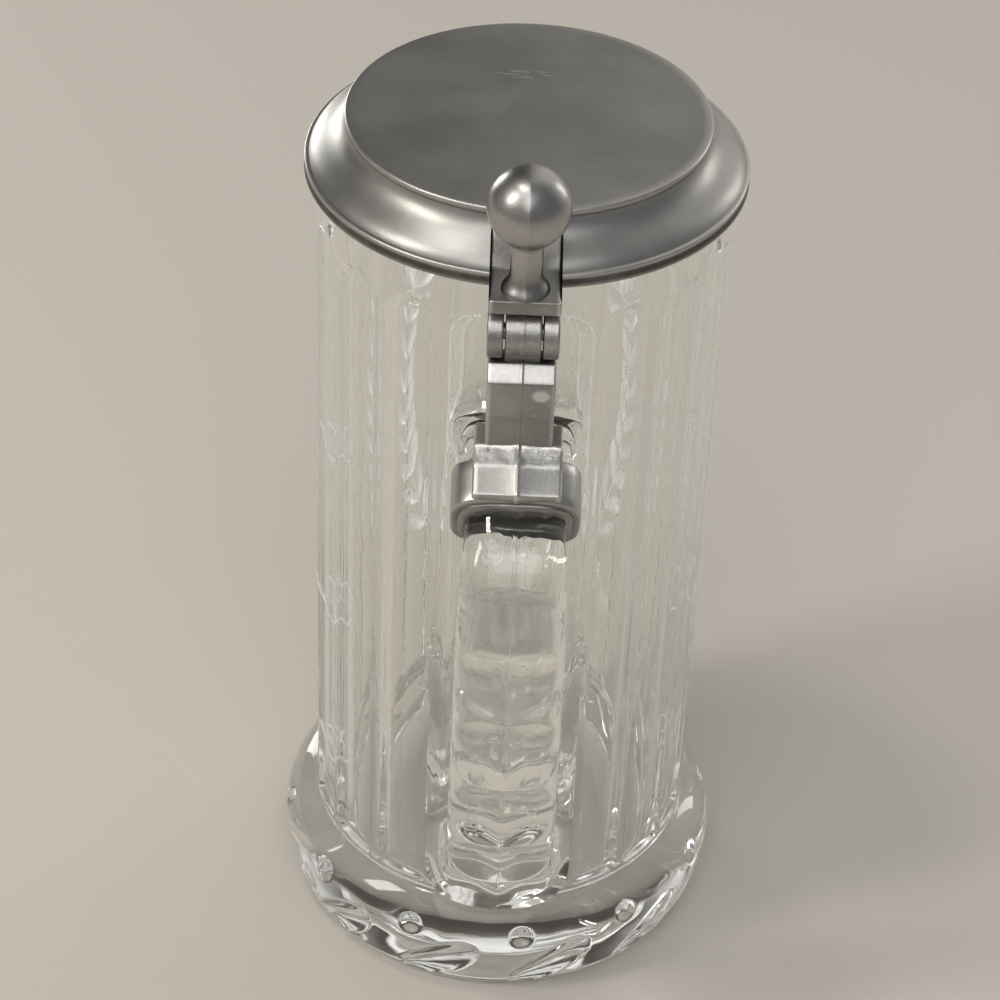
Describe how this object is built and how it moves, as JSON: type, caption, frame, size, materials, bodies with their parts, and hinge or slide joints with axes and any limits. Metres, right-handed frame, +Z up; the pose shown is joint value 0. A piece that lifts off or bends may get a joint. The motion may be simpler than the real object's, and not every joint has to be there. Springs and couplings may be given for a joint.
{
  "type": "lidded glass beer stein",
  "caption": "Straight fluted glass beer stein with a bulged foot, a scalloped glass handle and a hinged pewter lid with a ball thumb lift, carried by a collar on the handle.",
  "frame": {"origin": "centre of the standing face, on the axis of the glass body", "axes": "+Z up along the body's axis, handle and hinge towards -Y, hinge pin along X"},
  "size_m": [0.094, 0.1221, 0.2052],
  "materials": {
    "glass": "gloss",
    "pewter": "satin",
    "pin": "satin"
  },
  "bodies": {
    "mug": {"glass_body": "glass", "glass_handle": "glass", "handle_collar": "pewter", "hinge_shank": "pewter"},
    "lid": {"lid_cap": "pewter", "lid_tang": "pewter", "thumb_lift": "pewter", "hinge_pin": "pin", "pin_plugs": "pewter"}
  },
  "joints": [
    {"name": "lid_hinge", "type": "hinge", "parent": "mug", "child": "lid", "pos_m": [0, -0.0483, 0.1723], "axis": [1, 0, 0], "range_deg": [0, 110]}
  ]
}
